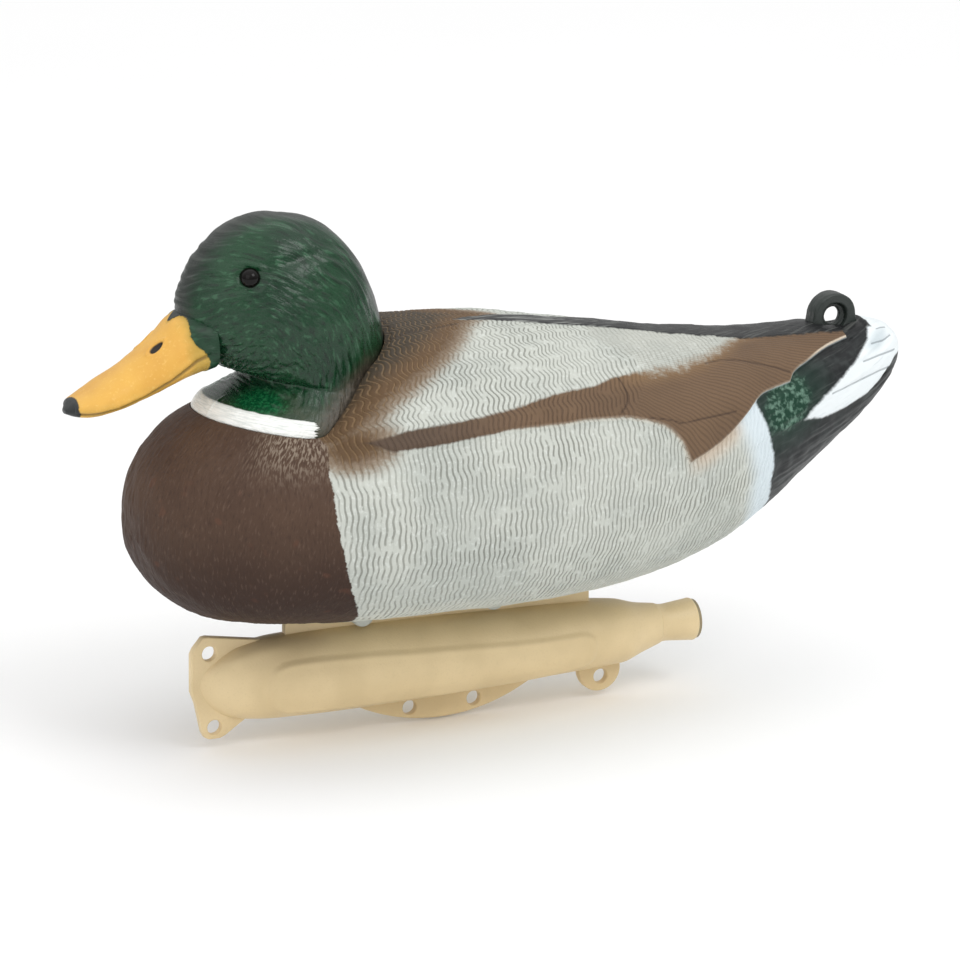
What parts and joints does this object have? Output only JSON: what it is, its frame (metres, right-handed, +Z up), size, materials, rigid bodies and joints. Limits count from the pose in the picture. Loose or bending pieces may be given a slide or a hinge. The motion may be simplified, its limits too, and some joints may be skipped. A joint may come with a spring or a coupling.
{
  "type": "floating duck decoy",
  "caption": "Floating mallard drake decoy: hollow painted body, swivelling head with glass eyes, tail ring, and a sand-filled keel with line eyelets along its plate.",
  "frame": {"origin": "on the centre plane, midway between bill tip and tail tip, at the height of the keel's lowest edge", "axes": "+X towards the bill, +Y to the duck's left, +Z up"},
  "size_m": [0.399, 0.156, 0.2352],
  "materials": {
    "body_paint": "flat paint over blow-moulded plastic: brown breast, grey flanks, black rump",
    "head_paint": "glossy dark green with a yellow bill and a white neck ring",
    "eye_glass": "polished black-brown",
    "keel_plastic": "satin tan plastic",
    "plug_plastic": "plain dark plastic",
    "ballast_sand": "packed sand"
  },
  "bodies": {
    "hull": {"body_shell": "body_paint", "blow_plug": "plug_plastic", "keel_shell": "keel_plastic", "keel_ballast": "ballast_sand", "spout_plug": "keel_plastic", "keel_pins": "body_paint"},
    "head": {"head_shell": "head_paint", "eye_left": "eye_glass", "eye_right": "eye_glass", "neck_lock_ring": "plug_plastic"}
  },
  "joints": [
    {"name": "head_swivel", "type": "hinge", "parent": "hull", "child": "head", "pos_m": [0.098, 0, 0.143], "axis": [-0.165, 0, 0.9863], "range_deg": [-50, 50]}
  ]
}
